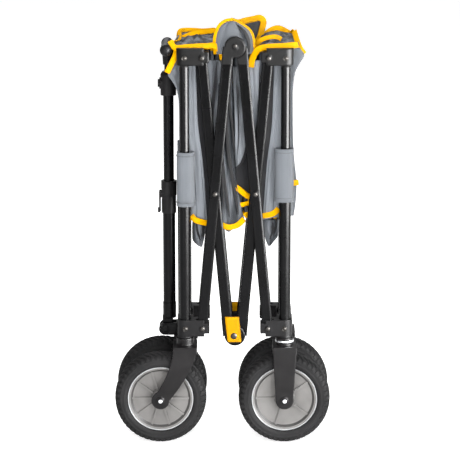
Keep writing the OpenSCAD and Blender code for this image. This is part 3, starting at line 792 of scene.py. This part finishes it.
FRONT_NEAR = [(-98, -44, 783.5), (-94, -48, 776), (-87, -52, 771), (-70, -53, 772.5), (-44, -51, 774),
              (-29, -49, 774), (-17, -47, 775), (-8, -46, 769), (-2, -45.5, 760), (1, -45, 748)]
FRONT_FAR = [(-84, 44, 774), (-82, 44, 788), (-74, 45, 791), (-55, 45, 791), (-37, 44, 790), (-14, 43, 792)]
FRONT_MID = [(-76, 16, 781), (-62, 17, 787), (-48, 18, 790), (-29, 18, 792), (-10, 17, 795)]
trim("top_front_near", FRONT_NEAR, (0, -1, 0.25), ("top_fn", BINDING_Z), 11)
trim("top_front_far", FRONT_FAR, (0, -1, 0.25), "top_ff", 10)
trim("top_front_mid", FRONT_MID, (0, -1, 0.35), "front_far_cloth", 9)
top_tray("tray_front", [(-94, -43, 778), (-90, -45, 774), (-82, -46, 771), (-70, -47, 771), (-44, -46, 773),
                        (-20, -44, 774), (-9, -43, 770)],
         [(-82, 38, 785), (-80, 40, 786), (-72, 41, 788), (-55, 41, 789), (-37, 41, 788), (-22, 40, 788),
          (-10, 39, 789)], FRONT_SPAN, 4.4)
REAR_NEAR = [(54, -44, 733), (56, -46, 746), (61, -48, 758), (70, -51, 769), (86, -53, 773), (109, -53, 774),
             (132, -52, 776), (143, -49, 777)]
REAR_FAR = [(76, 43, 774), (87, 44, 787), (99, 45, 794), (110, 45, 795), (123, 44, 789), (131, 43, 784)]
REAR_MID = [(60, -16, 766), (66, -20, 775), (76, -23, 783), (88, -24, 787), (98, -22, 788), (106, -18, 786),
            (112, -14, 782)]
trim("top_rear_near", REAR_NEAR, (0, -1, 0.25), ("top_rn", BINDING_Z), 12)
trim("top_rear_far", REAR_FAR, (0, -1, 0.25), "top_rf", 11)
trim("top_rear_mid", REAR_MID, (0, -1, 0.35), REAR_SPAN, 9)
top_tray("tray_rear", [(62, -44, 762), (80, -46, 769), (100, -46, 771), (122, -45, 773), (146, -42, 774)],
         [(76, 40, 784), (92, 41, 789), (105, 41, 791), (118, 40, 788), (138, 37, 786)], REAR_SPAN, 7.9)
trim("top_rear_end", [(137, 6, 795), (139, -8, 789), (142, -22, 780), (147, -32, 768), (155, -36, 757)],
     (-0.3, -1, 0.2), "top_rn", 11)
trim("top_rear_end_far", [(137, 6, 795), (136, 20, 793), (133, 34, 788), (131, 43, 784)], (0.6, -0.4, 0.5),
     "rear_far_cloth", 9)
trim("top_front_end", [(-96, -43, 782), (-88, -31, 781), (-82.5, -18, 781), (-81.5, 0, 782), (-81.5, 18, 784),
                       (-82, 30, 787), (-83, 42, 790)],
     (-0.5, 0, 0.85), FRONT_SPAN, 8)

for name, line, body in (("upstand_front", FRONT_FAR, "top_ff"), ("upstand_rear", REAR_FAR, "top_rf")):
    panel(name, line, [(x, 42.5, 762) for x, y, z in line], body, material=GREY, across=6, along=40)

# the hood of cloth pushed up in the middle of the near side, and the loop behind it
HOOD_LEFT = [(-11, -44, 758), (-12.5, -43, 772), (-12, -41, 787), (-9, -38, 799), (-3, -35, 810),
             (7, -32, 817), (20, -31, 819)]
HOOD_RIGHT = [(60, -42, 758), (59, -41, 770), (58, -39, 782), (56, -36, 792), (50, -34, 802), (38, -32, 811),
              (24, -31, 818.5)]
panel("hood", HOOD_LEFT, HOOD_RIGHT, ("top_fn", HOOD_Z), along=60, across=48, wide=1.18,
      push=lambda u, v: (13 * math.sin(math.pi * v) ** 0.65 - 8
                         * math.exp(-((v - 0.74 + 0.06 * u) / 0.045) ** 2)
                         - 2.5 * math.exp(-((v - 0.2) / 0.05) ** 2)) * (1 - 0.5 * u ** 4),
                         direction=(0, -1, 0.12))
trim("hood_trim_left", HOOD_LEFT, (-0.35, -1, 0.1), ("top_fn", HOOD_Z), 12, 2.2)
trim("hood_trim_right", HOOD_RIGHT, (0.3, -1, 0.15), ("top_fn", HOOD_Z), 9, 2.2)
# a dark tapered strip along the hood's right fold: painted shadow
made = tape("hood_crease_shadow",
            [(51, -51.5, 762), (50.5, -52, 778), (47, -50.5, 792), (40, -47, 803), (29, -41, 813)], 7.0,
            (0.2, -1, 0.2), DARK, 1.0, taper=True)
lay(made, ("top_fn", HOOD_Z))
LOOP = [(16, 30, 812), (30, 33, 808), (44, 36, 811), (60, 38, 814), (72, 38, 816), (79, 37, 809),
        (76, 34, 794), (71, 30, 778), (62, 26, 766)]
LOOP_IN = [(18, 24, 796), (28, 24, 788), (38, 24, 784), (46, 24, 780), (50, 24, 777), (52, 23, 773),
           (52, 22, 770), (58, 24, 775), (54, 20, 764)]
panel("loop_lining", LOOP, LOOP_IN, ("top_ff", LOOP_Z), material=DARK, along=50, across=10, wide=1.0,
      push=lambda u, v: 3 * math.sin(math.pi * v), direction=(0, 1, 0))
trim("loop_trim", LOOP, (0.2, -1, 0.2), ("top_ff", LOOP_Z), 12, 2.2)

# the gusset that hangs at the front, beside the handle, and the flap behind the rear post
GUSSET_EDGE = [(-86.5, -46, 771), (-88, -47, 757), (-94, -47.5, 744), (-104.5, -48, 723)]
panel("gusset", [(-84, -44, 766), (-90, -44, 748), (-103, -44, 722), (-96, -44, 708), (-88, -44, 694),
                 (-83, -44, 672), (-82, -44, 640), (-82, -44, 600), (-80, -44, 575)],
      [(-62, -41.5, 768), (-62, -41.5, 745), (-62, -41.5, 722), (-62, -41.5, 708), (-62, -41.5, 690),
       (-62, -41.5, 668),
       (-63, -41.5, 640), (-63, -41.5, 600), (-66, -41.5, 575)], "top_fn", along=70, across=16,
      push=lambda u, v: 1.6 * math.sin(TAU * (1.2 * v + 0.6 * u)) * min(1, 6 * v, 6 * (1 - v)),
      direction=(0, -1, 0))
trim("gusset_trim", GUSSET_EDGE, (-0.2, -1, 0), "top_fn", 11)
panel("flap_rear", [(146, -36, 769), (155, -38, 756), (148, -38, 742), (138, -39, 722), (134, -39, 690),
                    (134, -39, 648), (135, -39, 590),
                    (138, -38, 548), (142, -37, 513), (141, -37, 475), (137, -37, 444)],
      [(112, -41, 774), (112, -41, 760), (112, -41, 745), (113, -41.5, 722), (113, -41.5, 690),
       (113, -41.5, 648), (114, -41, 590), (114, -41, 548),
       (114, -41, 513), (114, -41, 475), (114, -41, 444)], "top_rn", along=80, across=16,
      push=lambda u, v: 1.8 * math.sin(TAU * (0.9 * v + 0.5 * u + 0.3)) * min(1, 6 * v, 6 * (1 - v)),
      direction=(0, -1, 0))
trim("flap_rear_pocket", [(131, -40.5, 508), (136, -40.5, 509), (146, -39, 510)], (0, -1, 0), "top_rn", 11)

# webbing ends at the lower middle pivots
WEBBING_WIDE, WEBBING_LONG = 27, 50     # mm
WEBBING_SLANT = 0.105
for label, side in (("near", NEAR), ("far", FAR)):
    c = centre("strap_" + label)
    verts, rows, cols = [], 18, 7
    for i in range(rows):
        h = i / (rows - 1)
        for j in range(cols):
            w = j / (cols - 1) - 0.5
            curl = 1.2 * math.sin(math.pi * h) + 0.6 * math.cos(math.pi * w)
            round_off = 1 - 0.10 * max(0, (0.08 - h) / 0.08) ** 2
            x = WEBBING_WIDE * w * round_off - WEBBING_SLANT * WEBBING_LONG * (h - 0.5)
            verts.append((c.x + x * MM, c.y + side * curl * MM * 0.6, c.z + WEBBING_LONG * (h - 0.5) * MM))
    made = piece("webbing_" + label, verts, grid_faces(rows, cols), WEBBING)
    thick(made, 1.5 * MM)
    fall = "fall_fn" if side == NEAR else "fall_ff"
    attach(made, fall)
    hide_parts("strap_" + label)
    dome_rivet("webbing_rivet_" + label, (c.x + 0.001, c.y + side * 0.0016, c.z - 0.013), (0, side, 0),
               0.0062, 0.0022, BRONZE, fall)


# ------------------------------------------------------------------ rivets, bearings, nuts
BAR_T, LAYER, CHEEK, ARM = 0.010, 0.006, 0.0145, 0.033
POST_Y, LOW_Z, CROSS_Z, TOP_Z = 0.05739, 0.229, 0.49237, 0.75575
for tag in CORNERS:
    x, y, _ = centre("post_" + tag)
    s, inward = SIDE[tag], (1 if x < 0 else -1)
    outside = y + s * CHEEK
    for z, body, low in ((LOW_Z, "base_" + tag, True), (TOP_Z, "top_" + tag, False)):
        for k, dx in enumerate((0.0005, ARM)):
            r, h = (0.0034, 0.0016) if k == 0 else (0.0050, 0.0026)
            at = (x + inward * dx, outside + s * (0.0 if k == 0 else 0.0006), z - (0.001 if low else 0.002))
            dome_rivet(f"rivet_{'low' if low else 'top'}_{tag}_{k}", at, (0, s, 0), r, h, BRONZE, body)
            if k == 0:
                ring = spin_profile(f"eyelet_{'low' if low else 'top'}_{tag}",
                                    [(0.0034, 0.0), (0.0036, 0.0009), (0.0046, 0.0010),
                                     (0.0052, 0.0)], BRONZE, 24)
                ring.data.transform(Matrix.Translation((at[0], outside, at[2])) @ Matrix.Scale(s, 4,
                        (0, 1, 0)))
                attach(ring, body)
for side, near in ((-1, True), (1, False)):
    face = side * (POST_Y + LAYER + BAR_T / 2 + 0.0016)
    sides = ("n" if near else "f")
    dome_rivet("rivet_middle_" + sides, (MIDDLE_X * MM, face, 0.7770), (0, side, 0), 0.0040, 0.0014, BRONZE,
               "rise_f" + sides)
    for x, body in ((-0.01461, "rise_f" + sides), (0.06261, "rise_r" + sides)):
        dome_rivet(f"rivet_cross_{sides}_{body[5]}", (x, face, CROSS_Z), (0, side, 0), 0.0047, 0.0022, BRONZE,
                   body)
for tag in CORNERS:
    c = centre("tyre_" + tag)
    body = ("caster_" if tag[0] == "f" else "base_") + tag
    for s in (-1, 1):
        dome_rivet(f"axle_nut_{tag}_{'a' if s < 0 else 'b'}", (c.x, c.y + s * 0.0358, c.z), (0, s, 0), 0.0040,
                   0.0018, ZINC, body)
    if tag[0] == "f":
        continue
    neck = centre("post_" + tag)
    ring = spin_profile("neck_ring_" + tag,
                        [(0.0150, 0.0), (0.0176, 0.0), (0.0180, 0.0012), (0.0180, 0.0034), (0.0174, 0.0046),
                         (0.0150, 0.0046)], ZINC, 48)
    ring.data.transform(Matrix.Translation((neck.x, neck.y, 0.2000)) @ Matrix.Rotation(math.pi / 2, 4, "X"))
    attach(ring, body)

# ------------------------------------------------------------------ floor, light, camera
bpy.ops.mesh.primitive_plane_add(size=70, location=(0, 0, -0.0005))
floor = bpy.context.object
floor.name = "studio_floor"
g = Graph("pale_floor")
g.set(Base_Color=g.ramp(g.noise(3, 2), (0.86, 0.86, 0.86), (0.89, 0.89, 0.89)), Roughness=0.8,
      Emission_Color=(1, 1, 1, 1), Emission_Strength=0.62)
floor.data.materials.append(g.material)


def area_light(name, at, aim, size, power, tall=None):
    data = bpy.data.lights.new(name, "AREA")
    data.energy = power
    data.size = size
    if tall:
        data.shape, data.size_y = "RECTANGLE", tall
    made = bpy.data.objects.new(name, data)
    made.location = at
    made.rotation_euler = (Vector(aim) - Vector(at)).to_track_quat("-Z", "Y").to_euler()
    bpy.context.scene.collection.objects.link(made)
    return made


area_light("edge_strip", (1.85, -1.30, 0.62), (0, 0, 0.42), 2.0, 1500, 1.9).visible_diffuse = False
area_light("front_right", (1.3, -2.9, 0.8), (0, 0, 0.42), 0.8, 78, 1.2)
area_light("front_left", (-1.3, -2.9, 0.8), (0, 0, 0.42), 0.8, 62, 1.2)
area_light("front_top", (0.3, -1.6, 2.9), (0, 0, 0.4), 0.7, 70)
area_light("back_top", (-0.6, 2.2, 2.4), (0, 0, 0.5), 1.6, 40)
world = bpy.data.worlds.new("studio")
bpy.context.scene.world = world
world.use_nodes = True
world.node_tree.nodes["Background"].inputs["Color"].default_value = (1, 1, 1, 1)
world.node_tree.nodes["Background"].inputs["Strength"].default_value = 0.4

camera_data = bpy.data.cameras.new("camera")
camera = bpy.data.objects.new("camera", camera_data)
bpy.context.scene.collection.objects.link(camera)
bpy.context.scene.camera = camera
ELEVATION, DISTANCE, AIM = math.radians(12.7), 4.5, Vector((0.0146, 0, 0.4076))
camera_data.lens = 181.5
camera_data.sensor_width = 36
camera.location = AIM + Vector((0, -math.cos(ELEVATION), math.sin(ELEVATION))) * DISTANCE
camera.rotation_euler = (math.pi / 2 - ELEVATION, 0, 0)
bpy.context.scene.view_settings.view_transform = "Standard"
